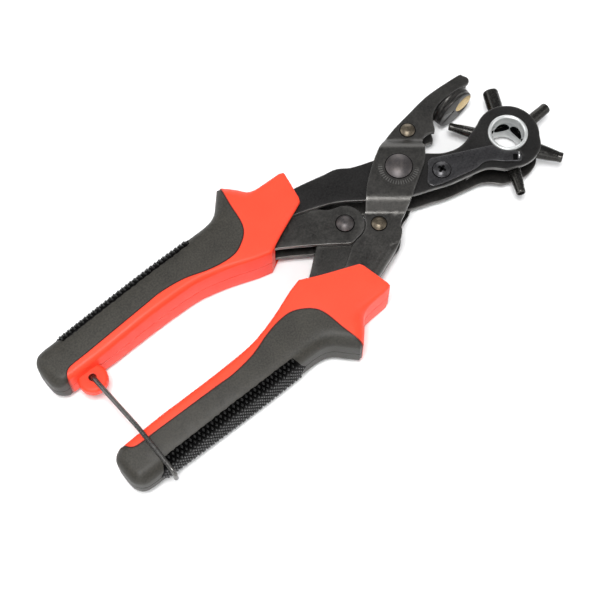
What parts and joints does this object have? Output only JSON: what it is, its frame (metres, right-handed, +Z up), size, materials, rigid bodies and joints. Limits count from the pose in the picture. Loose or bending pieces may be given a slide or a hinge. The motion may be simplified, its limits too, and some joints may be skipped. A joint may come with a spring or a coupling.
{
  "type": "rotary hole punch",
  "caption": "Revolving leather punch pliers with compound levers, a turret of hollow punch tubes, a brass-faced anvil and a wire handle lock.",
  "frame": {"origin": "middle of the footprint, on the surface that the tool lies on", "axes": "+X along the tool from the butts to the head, +Y towards the left handle, +Z up out of the front face"},
  "size_m": [0.256, 0.0972, 0.0242],
  "materials": {
    "blackened_steel": "satin black oxide, bare at the edges",
    "turned_steel": "turned, lightly oiled",
    "worn_rivet": "blackened dome rubbed to bronze",
    "dark_rivet": "blackened dome, satin",
    "anvil_steel": "black oxide, satin",
    "brass_pad": "satin, lightly marked",
    "red_plastic": "satin moulded",
    "black_rubber": "matt, fine grain",
    "textured_rubber": "moulded studs",
    "zinc_steel": "bright zinc",
    "tube_steel": "black oxide, bright at the edges",
    "index_steel": "blackened spring steel",
    "spring_steel": "drawn wire",
    "wire_steel": "black wire, satin"
  },
  "bodies": {
    "anvil_lever": {"front_anvil_plate": "blackened_steel", "rear_anvil_plate": "blackened_steel", "front_handle_plate": "blackened_steel", "rear_handle_plate": "blackened_steel", "jaw_spacer": "turned_steel", "jaw_rivet": "worn_rivet", "handle_spacer": "turned_steel", "handle_rivet": "worn_rivet", "lever_spacer": "turned_steel", "lever_rivet": "dark_rivet", "pivot_bush": "turned_steel", "pivot_rivet": "dark_rivet", "anvil_block": "anvil_steel", "anvil_disc": "anvil_steel", "anvil_pad": "brass_pad", "right_grip_core": "red_plastic", "right_grip_cover": "black_rubber", "right_grip_strip": "textured_rubber", "return_spring": "spring_steel"},
    "turret_jaw": {"front_turret_plate": "blackened_steel", "rear_turret_plate": "blackened_steel", "front_eyelet": "zinc_steel", "rear_eyelet": "zinc_steel", "index_spring": "index_steel", "index_screw": "index_steel"},
    "turret": {"turret_hub": "zinc_steel", "punch_tube_1": "tube_steel", "punch_tube_2": "tube_steel", "punch_tube_3": "tube_steel", "punch_tube_4": "tube_steel", "punch_tube_5": "tube_steel", "punch_tube_6": "tube_steel"},
    "left_lever": {"front_lever_plate": "blackened_steel", "rear_lever_plate": "blackened_steel", "drive_pin": "turned_steel", "left_grip_core": "red_plastic", "left_grip_cover": "black_rubber", "left_grip_strip": "textured_rubber"},
    "lock": {"lock_wire": "wire_steel"}
  },
  "joints": [
    {"name": "handle_pivot", "type": "hinge", "parent": "anvil_lever", "child": "left_lever", "pos_m": [0.0155, 0.0009, 0.012], "axis": [0, 0, -1], "range_deg": [0, 13]},
    {"name": "jaw_pivot", "type": "hinge", "parent": "anvil_lever", "child": "turret_jaw", "pos_m": [0.0508, 0.0062, 0.012], "axis": [0, 0, -1], "range_deg": [0, 6]},
    {"name": "turret_spin", "type": "hinge", "parent": "turret_jaw", "child": "turret", "pos_m": [0.1004, -0.0114, 0.012], "axis": [0, 0, 1], "continuous": true},
    {"name": "lock_swing", "type": "hinge", "parent": "left_lever", "child": "lock", "pos_m": [-0.1125, 0.0139, 0.012], "axis": [0, 0, -1], "range_deg": [0, 100.5]}
  ],
  "couplings": [
    {"joint": "jaw_pivot", "follows": "handle_pivot", "ratio": 0.46},
    {"joint": "lock_swing", "follows": "handle_pivot", "ratio": 7.7}
  ]
}
